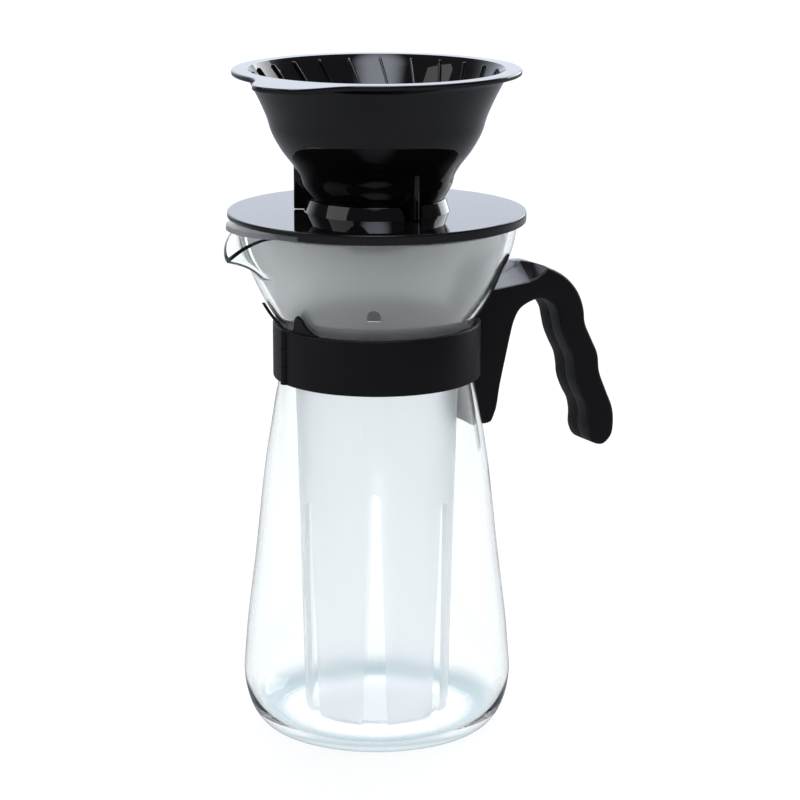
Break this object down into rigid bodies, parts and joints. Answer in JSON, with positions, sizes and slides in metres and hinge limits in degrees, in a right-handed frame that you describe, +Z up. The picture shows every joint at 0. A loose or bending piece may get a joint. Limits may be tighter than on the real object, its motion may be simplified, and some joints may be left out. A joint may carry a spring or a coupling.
{
  "type": "iced coffee maker",
  "caption": "Pour-over iced coffee maker: waisted glass jug with a hinged black band handle, frosted ice strainer, black lid plate and ribbed cone dripper.",
  "frame": {"origin": "centre of the flat foot of the glass jug, on the jug's upright axis", "axes": "+Z up along the jug's axis, +X towards the handle, -X towards the pouring spout, -Y towards the viewer's side"},
  "size_m": [0.191, 0.1284, 0.29],
  "materials": {
    "clear_glass": "clear blown glass",
    "satin_black": "satin moulded polypropylene",
    "steel": "plain drawn steel",
    "frosted_white": "frosted translucent plastic",
    "gloss_black": "polished black plastic"
  },
  "bodies": {
    "carafe": {"glass_carafe": "clear_glass", "near_handle_half": "satin_black", "hinge_pin": "steel"},
    "far_half": {"far_handle_half": "satin_black"},
    "strainer": {"ice_strainer": "frosted_white"},
    "lid": {"lid_plate": "gloss_black"},
    "dripper": {"dripper": "gloss_black"}
  },
  "joints": [
    {"name": "far_half_swing", "type": "hinge", "parent": "carafe", "child": "far_half", "pos_m": [-0.0445, 0, 0.1691], "axis": [0, 0, 1], "range_deg": [0, 80]},
    {"name": "strainer_lift", "type": "slide", "parent": "carafe", "child": "strainer", "axis": [0, 0, 1], "range_m": [0, 0.225]},
    {"name": "lid_lift", "type": "slide", "parent": "strainer", "child": "lid", "axis": [0, 0, 1], "range_m": [0, 0.05]},
    {"name": "dripper_lift", "type": "slide", "parent": "lid", "child": "dripper", "axis": [0, 0, 1], "range_m": [0, 0.05]}
  ]
}
